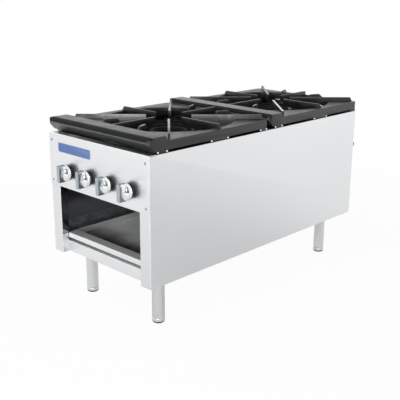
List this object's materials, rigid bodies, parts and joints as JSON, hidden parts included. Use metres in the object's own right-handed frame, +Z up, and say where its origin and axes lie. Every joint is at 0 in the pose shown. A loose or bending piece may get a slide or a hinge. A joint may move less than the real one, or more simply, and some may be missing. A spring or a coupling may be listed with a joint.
{
  "type": "stock pot range",
  "caption": "Floor-standing gas stock pot range: open steel cabinet on legs, cast-iron ring grates in line, ring burners, front knobs and a pull-out drip tray.",
  "frame": {"origin": "on the floor, under the middle of the overall length and width", "axes": "+X to the right as the cook faces it, the front with the knobs faces -Y, +Z up"},
  "size_m": [0.457, 1.101, 0.584],
  "materials": {
    "stainless_sheet": "fine vertical brush, satin",
    "galvanised_sheet": "dull galvanised sheet",
    "zinc_hardware": "zinc plated",
    "blue_enamel": "semi-gloss",
    "black_collar": "semi-gloss",
    "chrome_knob": "bright chrome on die-cast metal",
    "brass": "machined",
    "black_pipe": "black steel pipe, dull",
    "aluminium_tube": "drawn tube, dull",
    "steel_pilot": "dull steel",
    "burner_iron": "bare casting, blackened by heat",
    "grate_iron": "sand-cast, seasoned, low sheen",
    "leg_steel": "satin tube"
  },
  "bodies": {
    "cabinet": {"air_shutters": "steel_pilot", "back_panel": "galvanised_sheet", "back_panel_screws": "zinc_hardware", "badge_plate": "blue_enamel", "burner_rails": "galvanised_sheet", "centre_rail": "galvanised_sheet", "control_panel": "stainless_sheet", "control_panel_screws": "zinc_hardware", "front_bottom_rail": "galvanised_sheet", "front_inner_burner": "burner_iron", "front_leg_channel": "galvanised_sheet", "front_outer_burner": "burner_iron", "gas_inlet_pipe": "black_pipe", "gas_manifold": "black_pipe", "knob_bezels": "black_collar", "left_side_panel": "stainless_sheet", "left_tray_runner": "galvanised_sheet", "leg_bolts": "zinc_hardware", "leg_front_left": "leg_steel", "leg_front_right": "leg_steel", "leg_inserts": "zinc_hardware", "leg_rear_left": "leg_steel", "leg_rear_right": "leg_steel", "manifold_brackets": "galvanised_sheet", "manifold_cap": "black_pipe", "manifold_elbow": "black_pipe", "pilot_heads": "steel_pilot", "pilot_tube_front": "aluminium_tube", "pilot_tube_rear": "aluminium_tube", "pilot_valves": "brass", "rear_bottom_rail": "galvanised_sheet", "rear_gas_line_inner": "aluminium_tube", "rear_gas_line_outer": "aluminium_tube", "rear_inner_burner": "burner_iron", "rear_leg_channel": "galvanised_sheet", "rear_orifice_bracket": "galvanised_sheet", "rear_orifice_fittings": "brass", "rear_outer_burner": "burner_iron", "right_side_panel": "stainless_sheet", "right_tray_runner": "galvanised_sheet", "valve_body_1": "brass", "valve_body_2": "brass", "valve_body_3": "brass", "valve_body_4": "brass"},
    "knob_1_body": {"knob_1": "chrome_knob", "valve_stem_1": "brass"},
    "knob_2_body": {"knob_2": "chrome_knob", "valve_stem_2": "brass"},
    "knob_3_body": {"knob_3": "chrome_knob", "valve_stem_3": "brass"},
    "knob_4_body": {"knob_4": "chrome_knob", "valve_stem_4": "brass"},
    "drip_tray_body": {"drip_tray": "stainless_sheet"},
    "front_grate_body": {"front_grate": "grate_iron"},
    "rear_grate_body": {"rear_grate": "grate_iron"},
    "foot_front_left_body": {"foot_front_left": "leg_steel"},
    "foot_front_right_body": {"foot_front_right": "leg_steel"},
    "foot_rear_left_body": {"foot_rear_left": "leg_steel"},
    "foot_rear_right_body": {"foot_rear_right": "leg_steel"}
  },
  "joints": [
    {"name": "knob_1_turn", "type": "hinge", "parent": "cabinet", "child": "knob_1_body", "pos_m": [-0.1275, -0.5215, 0.4285], "axis": [0, -1, 0], "range_deg": [0, 90]},
    {"name": "knob_2_turn", "type": "hinge", "parent": "cabinet", "child": "knob_2_body", "pos_m": [-0.0345, -0.5215, 0.4285], "axis": [0, -1, 0], "range_deg": [0, 90]},
    {"name": "knob_3_turn", "type": "hinge", "parent": "cabinet", "child": "knob_3_body", "pos_m": [0.0585, -0.5215, 0.4285], "axis": [0, -1, 0], "range_deg": [0, 90]},
    {"name": "knob_4_turn", "type": "hinge", "parent": "cabinet", "child": "knob_4_body", "pos_m": [0.1515, -0.5215, 0.4285], "axis": [0, -1, 0], "range_deg": [0, 90]},
    {"name": "drip_tray_slide", "type": "slide", "parent": "cabinet", "child": "drip_tray_body", "axis": [0, -1, 0], "range_m": [0, 0.6]},
    {"name": "front_grate_lift", "type": "slide", "parent": "cabinet", "child": "front_grate_body", "axis": [0, 0, 1], "range_m": [0, 0.1]},
    {"name": "rear_grate_lift", "type": "slide", "parent": "cabinet", "child": "rear_grate_body", "axis": [0, 0, 1], "range_m": [0, 0.1]},
    {"name": "foot_front_left_level", "type": "slide", "parent": "cabinet", "child": "foot_front_left_body", "axis": [0, 0, -1], "range_m": [0, 0.025]},
    {"name": "foot_front_right_level", "type": "slide", "parent": "cabinet", "child": "foot_front_right_body", "axis": [0, 0, -1], "range_m": [0, 0.025]},
    {"name": "foot_rear_left_level", "type": "slide", "parent": "cabinet", "child": "foot_rear_left_body", "axis": [0, 0, -1], "range_m": [0, 0.025]},
    {"name": "foot_rear_right_level", "type": "slide", "parent": "cabinet", "child": "foot_rear_right_body", "axis": [0, 0, -1], "range_m": [0, 0.025]}
  ]
}
